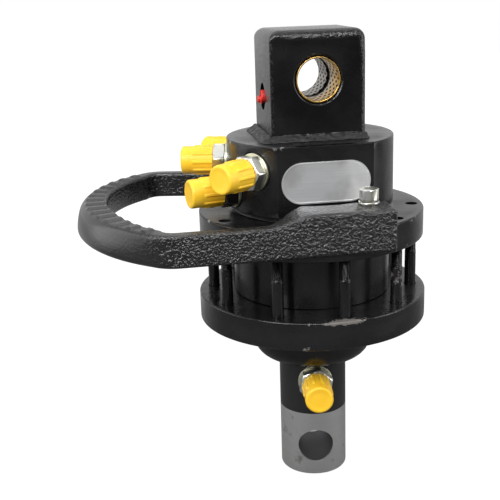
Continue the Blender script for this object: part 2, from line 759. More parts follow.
def make_lug(finishes):
    """Lug: the outline runs round the bore, and the rows run outside, over a face and back."""
    low, high = box_of("lug_block")
    bush_low, bush_high = box_of("front_lug_bush")
    centre_height = (bush_low[2] + bush_high[2]) / 2
    bore = (bush_high[0] - bush_low[0]) / 2 + bore_gap
    half = high[1]
    angles = round_angles(lug_columns)
    across = lug_reach(angles, 0.0, low, high, centre_height) * np.cos(angles)
    on_left = np.clip((-across / high[0] - 0.8) / 0.2, 0, 1) ** 2
    on_top = np.clip(np.sin(angles) * 2.2 - 0.9, 0, 1)
    edge = lug_edge_radius + (lug_top_edge_radius - lug_edge_radius) * on_top
    edge = edge + (lug_left_edge_radius - edge) * on_left
    rows = []
    for turn in np.linspace(0, math.pi / 2, 6):
        inset = edge * (1 - math.cos(turn))
        depth = half - edge * (1 - math.sin(turn))
        rows.append((lug_reach(angles, inset, low, high, centre_height), depth, 1.0))
    rows += [(lug_reach(angles, edge + lug_edge_band, low, high, centre_height), half, 0.0),
             (bore + bore_mouth + 0.4 * mm, half, 0.0), (bore + bore_mouth, half - 0.1 * mm, 0.6),
             (bore + 0.2 * mm, half - bore_mouth, 0.6), (bore, half - bore_mouth - 0.3 * mm, 0.0)]
    rows += [(reach, -depth, weight) for reach, depth, weight in reversed(rows)]
    reach = np.array([row[0] + 0 * angles for row in rows])
    depth = np.array([row[1] + 0 * angles for row in rows])
    grid = np.stack((reach * np.cos(angles), depth, centre_height + reach * np.sin(angles)), axis=-1)
    piece = mesh_piece("lug_body", grid, wrap=True, edge=np.array([row[2] for row in rows]))
    place = turned_frame((low[0], 0.0, centre_of("grease_nipple")[2]), (-1.0, 0.0, 0.0))
    cut(piece, [cylinder("recess", recess_radius, -recess_depth, recess_radius, place, columns_medium)])
    dress(piece, finishes["lug"], "lug_block", "housing")


def make_lug_bushes(finishes):
    for node, side in (("front_lug_bush", -1.0), ("rear_lug_bush", 1.0)):
        low, high = box_of(node)
        outer = (high[0] - low[0]) / 2
        inner = outer - 1.0 * mm
        centre = (low + high) / 2
        length = high[1] - low[1]
        place = turned_frame((centre[0], centre[1] - side * length / 2, centre[2]), (0.0, side, 0.0))
        corners = [(inner, 0.0, 0.1 * mm), (outer, 0.0, 0.2 * mm), (outer, length, 0.3 * mm),
                   (inner, length, 0.45 * mm)]
        make_turned(node, corners, place, finishes["bronze"], "housing")


def make_turned(node, corners, place, material, body):
    """Bored ring: a closed profile with round corners, turned round the frame's axis."""
    profile, weights = rounded(corners, wrap=True)
    grid = in_frame(revolve(profile, round_angles(columns_medium)), place)
    dress(mesh_piece(f"{node}_turned", grid, wrap=True, edge=weights), material, node, body)


def make_weld(finishes):
    """Fillet weld: a path round the lug's foot carries a triangle with a full, lumpy face.

    Along the path the leg swells and shrinks with the sum of a few sines, as the runs of a hand
    weld do, and two finer waves ripple the face.
    """
    high = box_of("lug_block")[1]
    bottom = box_of("lug_weld")[0][2]
    half = high[:2] + bore_gap
    signs = np.array(((1, 1), (-1, 1), (-1, -1), (1, -1)))
    stations = []
    for quarter, sign in enumerate(signs):
        for share in np.linspace(0, 1, 9):
            stations.append((*(sign * half), math.pi / 2 * (quarter + share)))
        for share in np.linspace(0, 1, 48)[1:-1]:
            way = sign + (signs[(quarter + 1) % 4] - sign) * share
            stations.append((*(half * way), math.pi / 2 * (quarter + 1)))
    stations = np.array(stations)
    run = (np.arange(len(stations)) * 2 * math.pi / len(stations))[:, None]
    swell = np.sin(run * weld_lumps + 2 * np.sin(run * 9)) * 0.4
    swell = swell + np.sin(run * 37 + 1.3) * 0.35 + np.sin(run * 13) * 0.4
    facing_x = np.cos(stations[:, 2:])
    slim = 1 - weld_right_slimness * np.clip(facing_x, 0, 1)
    leg = (weld_leg - weld_lump_height + weld_lump_height * swell * 0.5) * slim
    broad = 1 + weld_left_breadth * np.clip(-facing_x, 0, 1)
    face = np.linspace(0, math.pi / 2, 9)
    bulge = 1.0 - 0.24 * np.sin(2 * face)
    out = np.concatenate(([0.0], np.cos(face) * bulge, [0.0]))
    up = np.concatenate(([0.0], np.sin(face) * bulge, [0.6]))
    ripple = 1 + 0.05 * np.sin(run * 61 + face * 3 + 2 * np.sin(run * 23))
    ripple = ripple + 0.05 * np.sin(run * 97 - face * 5 + 1.7 * np.sin(run * 31))
    ripple = np.pad(ripple, ((0, 0), (1, 1)), constant_values=1.0)
    across = leg * broad * out * ripple
    x = stations[:, :1] + across * facing_x
    y = stations[:, 1:2] + across * np.sin(stations[:, 2:])
    grid = np.stack((x, y, bottom + leg * up * ripple), axis=-1)
    piece = mesh_piece("weld_bead", grid, wrap=True, edge=np.full(len(grid), 0.9))
    dress(piece, finishes["weld"], "lug_weld", "housing")


def hexagon(angles, width):
    """Radius of a hexagon: half the width over the cosine of the angle from the nearest flat."""
    sixth = math.pi / 3
    return width / 2 / np.cos(np.mod(angles, sixth) - sixth / 2)


def make_nipple(finishes):
    """Grease nipple: thread, hexagon, waist and ball end in one turning of (radius, height) rows."""
    low, high = box_of("grease_nipple")
    centre = (low + high) / 2
    place = turned_frame((high[0], centre[1], centre[2]), (-1.0, 0.0, 0.0))
    length = high[0] - low[0]
    start = nipple_hex_start
    end = nipple_hex_end
    angles = round_angles(columns_small)
    flats = hexagon(angles, nipple_hex_width)
    rows = ((3.0 * mm, 0.0), (3.2 * mm, 0.3 * mm), (3.2 * mm, start), (flats, start + 0.02 * mm),
            (flats, end), (2.6 * mm, end + 0.1 * mm), (2.2 * mm, end + 1.2 * mm),
            (3.1 * mm, end + 2.4 * mm), (3.2 * mm, length - 1.6 * mm), (2.4 * mm, length - 0.4 * mm),
            (1.6 * mm, length))
    piece = mesh_piece("nipple_turned", in_frame(revolve(rows, angles), place))
    dress(piece, finishes["zinc"], "grease_nipple", "housing")


def squared(turns, power):
    """Cosine and sine, each raised to a power with its sign kept, which squares a circle."""
    return [np.sign(wave) * np.abs(wave) ** power for wave in (np.cos(turns), np.sin(turns))]


def make_nipple_cap(finishes):
    """Domed cap with a finger grip, and a pull tab that lies on the lug's side."""
    low, high = box_of("nipple_cap")
    lug_side = box_of("lug_block")[0][0]
    nipple = centre_of("grease_nipple")
    radius = (high[1] - low[1]) / 2
    length = high[0] - low[0]
    place = turned_frame((high[0], nipple[1], nipple[2]), (-1.0, 0.0, 0.0))
    shoulder = length - nipple_nub_length
    corners = [(radius - 1.0 * mm, 0.0, 0.0), (radius, 0.0, 0.3 * mm), (radius, shoulder, 1.2 * mm),
               (nipple_nub_radius, shoulder, 0.8 * mm), (nipple_nub_radius, length, 1.2 * mm),
               (0.6 * mm, length, 0.0)]
    profile, weights = rounded(corners, 6)
    bore = np.array(((0.8 * mm, 5.6 * mm), (3.45 * mm, 5.6 * mm), (3.45 * mm, 0.0)))
    profile = np.concatenate((bore, profile))
    weights = np.concatenate((np.zeros(3), weights))
    grid = in_frame(revolve(profile, round_angles(columns_small)), place)
    grid[profile[:, 1] > shoulder - 0.2 * mm, :, 2] -= nipple_nub_drop
    piece = mesh_piece("nipple_cap_moulded", grid, edge=weights)
    along = np.linspace(0, 1, 14)[:, None]
    half_width = 2.2 * mm * (1 - 0.55 * along)
    half_width[-3:, 0] *= np.array((0.92, 0.75, 0.4))
    side, lift = squared(np.linspace(0, 2 * math.pi, 20, endpoint=False), 0.4)
    y = half_width * side
    z = nipple[2] + (high[2] - nipple[2]) * along + 0 * y
    x = lug_side - bore_gap - nipple_tab_thickness / 2 * (1 + lift * 0.98) + 0 * y
    cut(piece, [mesh_piece("tab", np.stack((x, y, z), axis=-1))], "UNION")
    dress(piece, finishes["red"], "nipple_cap", "grease_cap")


# Housings

def flat_reach(radius, flat, angles):
    """Radius of a round section with a flat towards -Y: the smaller of r and flat over cosine."""
    facing = np.cos(angles + math.pi / 2)
    return np.where(facing > 0.2, np.minimum(radius, flat / np.maximum(facing, 0.2)), radius)


def port_place(washer):
    """Frame of a port, from its washer: the origin is on the spot face, the axis points out."""
    low, high = box_of(washer)
    centre = (low + high) / 2
    out = unit(np.array((centre[0], centre[1], 0.0)))
    thickness = washer_thickness(washer, out)
    return turned_frame(centre - out * (thickness / 2 + hole_gap), out)


def washer_thickness(washer, out):
    """Thickness of a disc that stands on edge, from its box.

    Its box is as high as the disc is wide, and as deep as thickness * |cos| + width * |sin|.
    """
    low, high = box_of(washer)
    width = high[2] - low[2]
    across = high[0] - low[0]
    return (across - width * abs(out[1])) / abs(out[0]) if abs(out[0]) > 0.5 else (
        (high[1] - low[1] - width * abs(out[0])) / abs(out[1]))


def port_tools(washer, depth, passage_start, passage_end, columns):
    """A port's frame and its cutters: spot face, threaded bore and the passage behind it."""
    low, high = box_of(washer)
    place = port_place(washer)
    room = (high[2] - low[2]) / 2 + spotface_margin
    return place, [cylinder("spot_face", room, 0.0, 20 * mm, place, columns_medium),
                   cylinder("port", port_bore_radius, -depth, 1 * mm, place),
                   cylinder("passage", passage_radius, passage_start, passage_end, place, columns)]


def make_upper_housing(finishes):
    """Flange, neck and head in one turning, with the plate's flat milled into the head."""
    low, high = box_of("upper_housing")
    radius = high[0]
    bottom = low[2]
    top = high[2]
    flange_top = bottom + flange_thickness
    head_bottom = flange_top + neck_height
    flat = -box_of("data_plate")[1][1] - hole_gap
    corners = [
        (spigot_bore_radius, top - head_roof, 0.0), (spigot_bore_radius, flange_top, 0.0),
        (bush_bore_radius, flange_top, 0.0), (bush_bore_radius, bottom, 0.4 * mm),
        (radius, bottom, flange_edge), (radius, flange_top, flange_edge),
        (neck_radius, flange_top, 0.8 * mm), (neck_radius, head_bottom, 0.6 * mm),
        (head_radius, head_bottom, head_edge), (head_radius, top, head_edge), (20.0 * mm, top, 0.0)]
    profile, weights = spread(*rounded(corners), 6.0 * mm)
    edge_angle = math.acos(flat / head_radius)
    angles = round_angles(columns_large, (-math.pi / 2 - edge_angle, -math.pi / 2 + edge_angle))
    grid = revolve(profile, angles)
    milled = (profile[:, 1] > flange_top + 0.9 * mm) & (profile[:, 0] > 30.0 * mm)
    for number in np.flatnonzero(milled):
        reach, height = profile[number]
        inset = max(0.0, head_edge - (top - height)) if reach > neck_radius else 0.0
        grid[number] = revolve([(flat_reach(reach, flat - inset * 0.8, angles), height)], angles)[0]
    piece = mesh_piece("upper_housing_turned", grid, edge=weights)
    holes = [(node, bottom - 1 * mm) for node in bolt_nodes()]
    holes += [(node, box_of(node)[0][2] - hole_gap) for node in ("front_guard_screw", "rear_guard_screw")]
    cut(piece, [cylinder("tapped", bolt_radius + hole_gap, start, flange_top + 1 * mm,
                         upright_at(centre_of(node)), columns_hole) for node, start in holes])
    tools = []
    for number in range(1, 5):
        passage_end = spigot_bore_radius - 1 * mm if number < 3 else motor_gallery_distance
        place, port = port_tools(f"head_washer_{number}", 14.0 * mm, passage_end - head_port_distance,
                                 -13.0 * mm, columns_drilling)
        tools += port
        if number > 2:
            tools.append(cylinder("gallery", gallery_radius, bottom - 1 * mm, place[0][2],
                                  upright_at(place[1][2] * motor_gallery_distance), columns_drilling))
    cut(piece, tools)
    dress(piece, finishes["housing"], "upper_housing", "housing")


def make_cam_ring(finishes):
    """Cam ring: round outside; inside, the radius swells by a raised cosine to two lobes."""
    low, high = box_of("cam_ring")
    angles = round_angles(columns_large)
    cam = cam_small_radius + cam_lift * (1 - np.cos(cam_lobes * angles)) / 2
    outer = high[0]
    edge = 0.3 * mm
    rows = [(cam, low[2]), (outer - edge, low[2]), (outer, low[2] + edge), (outer, high[2] - edge),
            (outer - edge, high[2]), (cam, high[2])]
    piece = mesh_piece("cam_ring_turned", revolve(rows, angles), wrap=True)
    dress(piece, finishes["ring"], "cam_ring", "housing")


def make_lower_housing(finishes):
    low, high = box_of("lower_housing")
    radius = high[0]
    top = high[2]
    flange_bottom = top - flange_thickness
    pocket_floor = top - thrust_pocket_depth
    corners = [
        (bush_bore_radius, low[2], 0.5 * mm), (hub_radius, low[2], hub_corner_radius),
        (hub_radius, flange_bottom, hub_fillet), (radius, flange_bottom, flange_edge),
        (radius, top, flange_edge), (thrust_pocket_radius, top, 0.4 * mm),
        (thrust_pocket_radius, pocket_floor, 0.0), (bush_bore_radius, pocket_floor, 0.0)]
    profile, weights = rounded(corners, 8, wrap=True)
    weights = weights * (profile[:, 0] > hub_radius + hub_fillet)
    profile, weights = spread(profile, weights, 6.0 * mm)
    grid = revolve(profile, round_angles(columns_large))
    piece = mesh_piece("lower_housing_turned", grid, wrap=True, edge=weights)
    holes = []
    for node in bolt_nodes():
        bolt_low, bolt_high = box_of(node)
        place = upright_at((bolt_low + bolt_high) / 2)
        seat = bolt_low[2] + bolt_head_height + hole_gap
        counterbore = (bolt_high[0] - bolt_low[0]) / 2 + counterbore_gap
        holes += [cylinder("shank_hole", bolt_radius + counterbore_gap, seat - 1 * mm, top + 1 * mm,
                           place, columns_hole),
                  cylinder("counterbore", counterbore, flange_bottom - 1 * mm, seat, place)]
    cut(piece, holes)
    dress(piece, finishes["lower"], "lower_housing", "housing")


def block(name, low, high, place):
    """Box between two corners of a frame."""
    corners = np.array(((low[0], low[1]), (high[0], low[1]), (high[0], high[1]), (low[0], high[1])))
    rows = [np.column_stack((corners, np.full(4, height))) for height in (low[2], high[2])]
    return mesh_piece(name, in_frame(np.array(rows), place))


def shaft_cutters(drum_bottom, drum_top):
    """Vane slots, pin hole, spot faces, ports and the two drilled galleries."""
    tools = []
    slot_low = (drum_radius - vane_length - seal_gap, -slot_half_width, drum_bottom + slot_floor)
    slot_high = (drum_radius + 2 * mm, slot_half_width, drum_top + 2 * mm)
    for node in numbered("vane", 6):
        x, y = unit(centre_of(node)[:2])
        axes = np.array(((x, y, 0), (-y, x, 0), (0, 0, 1)))
        tools.append(block("slot", slot_low, slot_high, (np.zeros(3), axes)))
    for number, feeder in ((1, "head_washer_2"), (2, "head_washer_1")):
        top = centre_of(feeder)[2]
        place, port = port_tools(f"shaft_washer_{number}", 12.3 * mm,
                                 gallery_offset / 2 - port_flat_distance, -12.0 * mm, columns_small)
        out = place[1][2]
        tools += port
        tools.append(cylinder("gallery", gallery_radius, place[0][2], top,
                              upright_at(out * gallery_offset)))
        tools.append(cylinder("outlet", gallery_radius, gallery_offset / 2, 2 * spigot_radius,
                              turned_frame((0.0, 0.0, top), out)))
        if number == 1:
            across = turned_frame((0.0, 0.0, shaft_pin_hole_height), out)
            tools.append(cylinder("pin_hole", shaft_pin_hole_radius, -2 * shaft_radius,
                                  2 * shaft_radius, across, columns_medium))
    return tools


def make_shaft(finishes):
    """Shaft, collar, drum and spigot in one turning, then slotted, drilled and faced."""
    top = box_of("rotor_shaft")[1][2]
    ring_low, ring_high = box_of("cam_ring")
    drum_bottom = ring_low[2] + 0.1 * mm
    drum_top = ring_high[2] - 0.1 * mm
    collar_bottom = box_of("ball_cage")[1][2] + 0.1 * mm
    journal_top = box_of("upper_bush")[1][2]
    corners = [
        (3 * mm, 0.0, 0.0), (shaft_radius, 0.0, shaft_edge), (shaft_radius, collar_bottom, 0.0),
        (collar_radius, collar_bottom, 0.0), (collar_radius, drum_bottom, 0.0),
        (drum_radius, drum_bottom, 0.0), (drum_radius, drum_top, 0.0), (shaft_radius, drum_top, 0.0),
        (shaft_radius, journal_top, 0.0), (spigot_radius, journal_top, 0.0)]
    groove = spigot_radius - seal_groove_depth
    for seal in numbered("distributor_seal", 3):
        low, high = box_of(seal)
        start = low[2] - seal_gap
        end = high[2] + seal_gap
        corners += [(spigot_radius, start, 0.0), (groove, start, 0.0), (groove, end, 0.0),
                    (spigot_radius, end, 0.0)]
    corners += [(spigot_radius, top, 0.5 * mm), (3 * mm, top, 0.0)]
    profile, weights = spread(*rounded(corners), 8.0 * mm)
    piece = mesh_piece("shaft_turned", revolve(profile, round_angles(columns_medium * 2)), edge=weights)
    cut(piece, shaft_cutters(drum_bottom, drum_top))
    dress(piece, finishes["shaft"], "rotor_shaft", "rotor")


# Bolts and screws

def thread_cut(height, angles, pitch, depth):
    """Depth of a thread: a triangle wave of height over pitch less the turn, so a helix."""
    phase = np.mod(height / pitch - angles / (2 * math.pi), 1.0)
    return depth * np.abs(2 * phase - 1)


def screw_grid(length, head_radius, thread_length, knurled, place):
    """Cap screw: socket, head, shank and thread as one surface of (radius, height, weight) rows."""
    angles = round_angles(columns_small)
    socket = hexagon(angles, bolt_socket_width)
    socket_floor = bolt_socket_depth - bolt_head_height
    knurl = head_knurl_depth * np.cos(head_knurls * angles) if knurled else 0.0
    head = head_radius - (head_knurl_depth if knurled else 0.0)
    edge = bolt_head_edge - bolt_head_height
    thread_start = length - thread_length
    rows = [(socket * 0.1, socket_floor, 0.0), (socket, socket_floor, 0.0),
            (socket, -bolt_head_height, 0.4), (head - bolt_head_edge, -bolt_head_height, 0.6),
            (head + knurl * 0.2, edge, 0.8), (head + knurl, edge + 0.3 * mm, 0.3),
            (head + knurl, -1.2 * mm, 0.3), (head, -0.8 * mm, 0.3), (head - 0.2 * mm, 0.0, 0.0),
            (bolt_radius, 0.02 * mm, 0.0), (bolt_radius, 0.5 * mm, 0.0),
            (bolt_radius, thread_start - 0.4 * mm, 0.9)]
    for share in np.linspace(0, 1, int(thread_length / thread_pitch * 8)):
        height = thread_start + (thread_length - 0.8 * mm) * share
        depth = thread_cut(height, angles, thread_pitch, thread_depth) * min(1.0, share * 12)
        rows.append((bolt_radius - 0.05 * mm - depth, height, 0.5))
    rows.append((bolt_radius - 1.0 * mm, length, 0.0))
    grid = revolve([row[:2] for row in rows], angles)
    return in_frame(grid, place), np.array([row[2] for row in rows])


def make_screw(node, thread_length, upside_down, material):
    """Cap screw whose head is the lower end, or, upside down, a knurled head at the upper end."""
    low, high = box_of(node)
    seat = high[2] - bolt_head_height if upside_down else low[2] + bolt_head_height
    origin, axes = upright_at((low + high) / 2, seat)
    axes = np.diag((1.0, -1.0, -1.0)) if upside_down else axes
    length = high[2] - low[2] - bolt_head_height
    grid, weights = screw_grid(length, (high[0] - low[0]) / 2, thread_length, upside_down,
                               (origin, axes))
    dress(mesh_piece(f"{node}_threaded", grid, edge=weights), material, node, "housing")


def make_screws(finishes):
    for node in bolt_nodes():
        make_screw(node, flange_bolt_thread, False, finishes["bolt"])
    for end in ("front", "rear"):
        make_screw(f"{end}_guard_screw", screw_thread, True, finishes["zinc"])
        make_lock_washer(f"{end}_lock_washer", finishes)


def make_lock_washer(node, finishes):
    """Split spring washer: a square section runs almost once round and climbs as it goes."""
    low, high = box_of(node)
    centre = (low + high) / 2
    radius = (high[0] - low[0]) / 2
    inner = bolt_radius + hole_gap
    split = math.radians(8)
    turn = np.linspace(split / 2, 2 * math.pi - split / 2, 90) + math.radians(200)
    climb = np.linspace(-0.5, 0.5, 90) * 0.35 * mm
    across, up = squared(np.linspace(0, 2 * math.pi, 16, endpoint=False), 0.35)
    reach = (radius + inner) / 2 + (radius - inner) / 2 * across + 0 * turn[:, None]
    x = centre[0] + reach * np.cos(turn)[:, None]
    y = centre[1] + reach * np.sin(turn)[:, None]
    z = centre[2] + ((high[2] - low[2]) / 2 - 0.18 * mm) * up + climb[:, None]
    piece = mesh_piece(f"{node}_split", np.stack((x, y, z), axis=-1))
    dress(piece, finishes["zinc"], node, "housing")


# Ports

def hex_rows(angles, start, end):
    """Hexagon whose corners are turned down at both ends: the smaller of hexagon and cone."""
    flats = hexagon(angles, hex_width)
    reach = hex_chamfer + 0.9 * mm
    rows = [(np.minimum(flats, hex_width / 2 - 0.5 * mm + share * reach),
             start + share * 0.55 * hex_chamfer) for share in (0.0, 0.35, 0.7, 1.0)]
    return rows + [(np.minimum(flats, hex_width / 2 - 0.3 * mm + share * reach),
                    end - share * hex_chamfer) for share in (1.0, 0.7, 0.35, 0.0)]


def make_adapter(node, place, hex_turn, thickness, material, body):
    """Adapter: threaded stub, chamfered hexagon and nose, bored right through."""
    angles = round_angles(columns_medium)
    hex_start = thickness + 2 * hole_gap
    hex_end = thickness + hole_gap + hex_length
    nose_end = hex_end - hole_gap + nose_length
    rows = [(adapter_bore_radius, -adapter_stub_length), (7.4 * mm, -adapter_stub_length),
            (adapter_stub_radius, -adapter_stub_length + 0.6 * mm),
            (adapter_stub_radius, hex_start - 0.1 * mm), *hex_rows(angles, hex_start, hex_end),
            (nose_radius - adapter_thread_depth, hex_end + 0.05 * mm)]
    thread_rows = int((nose_end - hex_end - 2.4 * mm) / adapter_thread_pitch * 6)
    for share in np.linspace(0, 1, thread_rows):
        height = hex_end + 1.4 * mm + (nose_end - hex_end - 2.2 * mm) * share
        depth = thread_cut(height, angles, adapter_thread_pitch, adapter_thread_depth)
        rows.append((nose_radius - depth, height))
    rows += [(nose_radius - 0.9 * mm, nose_end), (adapter_bore_radius + 1.6 * mm, nose_end),
             (adapter_bore_radius, nose_end - 1.6 * mm)]
    grid = revolve(rows, angles + math.radians(hex_turn))
    piece = mesh_piece(f"{node}_turned", in_frame(grid, place), wrap=True)
    dress(piece, material, node, body)


def make_washer(node, place, thickness, material, body):
    low, high = box_of(node)
    outer = (high[2] - low[2]) / 2
    corners = [(washer_bore_radius, hole_gap, 0.0), (outer, hole_gap, 0.35 * mm),
               (outer, thickness + hole_gap, 0.35 * mm), (washer_bore_radius, thickness + hole_gap, 0.0)]
    make_turned(node, corners, place, material, body)


def make_cap(node, place, start, finishes, body):
    """Push-on cap: a barrel with a rounded end, and ribs that fade out along it.

    A rib's height is a raised cosine of the angle from its middle, times a fade along the cap.
    """
    angles = round_angles(cap_rib_count * 24)
    period = 2 * math.pi / cap_rib_count
    off = np.abs(np.mod(angles + period / 2, period) - period / 2)
    off = np.clip(off / math.radians(cap_rib_width) * math.pi / 2, 0, math.pi / 2)
    rib = np.clip(1.6 * np.cos(off), 0, 1)
    end = start + cap_length
    floor = end - cap_end_thickness
    bore = cap_radius - cap_wall
    along = np.concatenate((np.linspace(0, cap_rib_length - cap_rib_fade, 6),
                            np.linspace(cap_rib_length - cap_rib_fade * 0.8, cap_rib_length, 6),
                            (cap_rib_length + 1 * mm,)))
    fade = np.clip((cap_rib_length - along) / cap_rib_fade, 0, 1)
    flare = 0.12 * mm * (1 - along / cap_rib_length)
    rows = [(bore * 0.1, floor), (bore, floor), (bore, start),
            (cap_radius - 0.3 * mm + rib * cap_rib_height * 0.6, start)]
    for step, share, wide in zip(along, fade, flare):
        rows.append((cap_radius + wide + rib * (cap_rib_height - wide) * share, start + 0.25 * mm + step))
    for turn in np.linspace(0, math.pi / 2, 7):
        rows.append((cap_radius - cap_end_radius * (1 - math.cos(turn)),
                     end - cap_end_radius * (1 - math.sin(turn))))
    sunk = end - 0.12 * mm
    rows += [(7.6 * mm, end), (7.3 * mm, sunk), (4.0 * mm, sunk), (1.0 * mm, sunk)]
    piece = mesh_piece(f"{node}_moulded", in_frame(revolve(rows, angles), place))
    dress(piece, finishes["yellow"], node, body)


def make_ports(finishes):
    """Washer, adapter and cap of each port; the head's second adapter is painted with it."""
    ports = [("head", number, turn, "housing") for number, turn in enumerate(head_hex_turns, start=1)]
    ports += [("shaft", number, turn, "rotor") for number, turn in enumerate(shaft_hex_turns, start=1)]
    for kind, number, hex_turn, body in ports:
        washer = f"{kind}_washer_{number}"
        place = port_place(washer)
        thickness = washer_thickness(washer, place[1][2])
        painted = kind == "head" and number == 2
        make_washer(washer, place, thickness, finishes["washer"], body)
        make_adapter(f"{kind}_adapter_{number}", place, hex_turn, thickness,
                     finishes["painted_hex" if painted else "zinc"], body)
        make_cap(f"{kind}_cap_{number}", place, thickness + 2 * hole_gap + hex_length, finishes,
                 f"{kind}_cap_{'abcd'[number - 1]}")


# Data plate

def make_plate(finishes):
    """Blank stadium-shaped plate with a rolled rim round a slightly sunken field."""
    low, high = box_of("data_plate")
    centre = (low + high) / 2
    radius = (high[2] - low[2]) / 2
    reach = (high[0] - low[0]) / 2 - radius
    thickness = high[1] - low[1]
    turn = np.linspace(-math.pi / 2, 1.5 * math.pi, 128, endpoint=False)
    side = np.where(np.cos(turn) >= 0, 1.0, -1.0)
    field = thickness - 0.2 * mm
    shape = ((0.0, 0.0), (0.0, thickness - 0.3 * mm), (0.1, thickness - 0.08 * mm), (0.35, thickness),
             (1.1, thickness), (1.35, thickness - 0.12 * mm), (1.7, field), (radius / mm - 2.0, field))
    rows = []
    for inset, depth in shape:
        round_radius = radius - inset * mm
        x = centre[0] + side * reach + round_radius * np.cos(turn)
        z = centre[2] + round_radius * np.sin(turn)
        rows.append(np.stack((x, np.full_like(x, high[1] - depth), z), axis=-1))
    piece = mesh_piece("plate_blank", np.array(rows))
    dress(piece, finishes["plate"], "data_plate", "housing")


# Hose guard

def facing(bearing):
    """Unit vectors in plan at bearings measured from -X towards +Y, in degrees."""
    turn = np.radians(bearing)
    return np.stack((-np.cos(turn), np.sin(turn)), axis=-1)


def guard_path():
    """Points of the guard's outer edge, and the bearing at each.

    An arm, a corner arc, the grip's arc, a second corner arc and the other arm meet tangentially.
    """
    front_turn = -guard_front_corner_bearing
    rear_turn = guard_rear_corner_bearing
    front = guard_grip_centre + facing(front_turn) * (guard_grip_radius - guard_front_corner_radius)
    rear = guard_grip_centre + facing(rear_turn) * (guard_grip_radius - guard_rear_corner_radius)
    arcs = ((front, guard_front_corner_radius, guard_first_bearing, front_turn),
            (guard_grip_centre, guard_grip_radius, front_turn, rear_turn),
            (rear, guard_rear_corner_radius, rear_turn, guard_last_bearing))
    points = []
    bearings = []
    for centre, radius, start, end in arcs:
        count = int(math.radians(end - start) * radius / guard_row_step)
        bearing = np.linspace(start, end, count, endpoint=False)
        points.append(centre + facing(bearing) * radius)
        bearings.append(bearing)
    last_point = rear + facing(guard_last_bearing) * guard_rear_corner_radius
    points = np.concatenate(points + [last_point[None, :]])
    bearings = np.concatenate(bearings + [np.array((guard_last_bearing,))])
    arms = []
    for foot, bearing in ((points[0], guard_first_bearing), (points[-1], guard_last_bearing)):
        slope = -facing(bearing)[0] / facing(bearing)[1]
        count = int((guard_boss_end - foot[0]) / guard_row_step)
        x = np.linspace(foot[0], guard_boss_end, count + 1)[1:]
        arms.append(np.stack((x, foot[1] + slope * (x - foot[0])), axis=-1))
    points = np.concatenate((arms[0][::-1], points, arms[1]))
    return points, np.concatenate((np.full(len(arms[0]), guard_first_bearing), bearings,
                                   np.full(len(arms[1]), guard_last_bearing)))


def guard_grid(flange_top):
    """Rows of the hose guard: a rounded bar along the path, wider at the grip, taller at the bosses.

    The section is a rectangle with round corners, and on the grip its outer face leans in.  Ribs
    stand on the grip as raised cosines of the bearing, and fade out towards the bar's edges.
    """
    points, bearings = guard_path()
    bearings = bearings[:, None]
    share = (bearings - guard_first_bearing) / (guard_last_bearing - guard_first_bearing)
    swell = np.sin(math.pi * (share + guard_swell_shift * np.sin(math.pi * share) ** 2))
    swell = np.abs(swell) ** 3
    to_rear = (1 - np.cos(math.pi * share)) / 2
    bottom = guard_bottom + guard_rear_rise * to_rear
    bar_top = bottom + guard_bar_height + (guard_rear_bar_height - guard_bar_height) * to_rear
    ramp = np.clip((points[:, :1] - guard_boss_start + guard_ramp_length) / guard_ramp_length, 0, 1)
    ramp = ramp * (np.abs(share - 0.5) > 0.49)
    eased = ramp - np.sin(2 * math.pi * ramp) / (2 * math.pi) * 0.35
    width = guard_arm_width + (guard_grip_width - guard_arm_width) * swell
    width = width + (guard_boss_width - guard_arm_width) * eased
    top = bar_top + (flange_top + guard_boss_rise - bar_top) * eased
    edge = guard_arm_edge + (guard_grip_edge - guard_arm_edge) * swell
    right_angle = math.pi / 2
    turns = np.linspace(0, 2 * math.pi, 64, endpoint=False) + math.pi / 64
    quarter = np.mod(turns, right_angle) / right_angle
    arc = np.clip((quarter - 0.25) * 2, 0, 1) * right_angle + np.floor(turns / right_angle) * right_angle
    along_side = 1 - np.clip(np.abs(quarter - 0.5) - 0.25, 0, 0.25) * 4
    on_end = np.isclose(np.abs(np.cos(arc)), 1, atol=1e-9)
    on_top = np.isclose(np.abs(np.sin(arc)), 1, atol=1e-9)
    across = np.sign(np.cos(turns)) * (width / 2 - edge) * np.where(on_top, along_side, 1)
    across = across + edge * np.cos(arc)
    up = np.sign(np.sin(turns)) * ((top - bottom) / 2 - edge) * np.where(on_end, along_side, 1)
    up = up + edge * np.sin(arc)
    rib_pitch = guard_rib_span / (guard_rib_count - 1)
    from_rib = np.abs(np.mod(bearings + guard_rib_span / 2 + rib_pitch / 2, rib_pitch) - rib_pitch / 2)
    rib = np.clip(1.5 * np.cos(np.clip(from_rib / guard_rib_width, 0, 1) * right_angle), 0, 1)
    rib = rib * (np.abs(bearings) < guard_rib_span / 2 + guard_rib_width)
    over = np.clip((width / 2 - 2.5 * mm - np.abs(across)) / (1.5 * mm), 0, 1)
    up = up + guard_rib_height * rib * over * (up > 0)
    outer = np.clip(across / width + 0.5, 0, 1)
    raised = np.clip(up / (top - bottom) + 0.5, 0, 1)
    across = across - guard_grip_lean * swell * outer * raised ** 2.4
    plan = points[:, None] - facing(bearings) * (width / 2 - across)[..., None]
    return round_the_ends(np.concatenate((plan, ((top + bottom) / 2 + up)[..., None]), axis=-1))


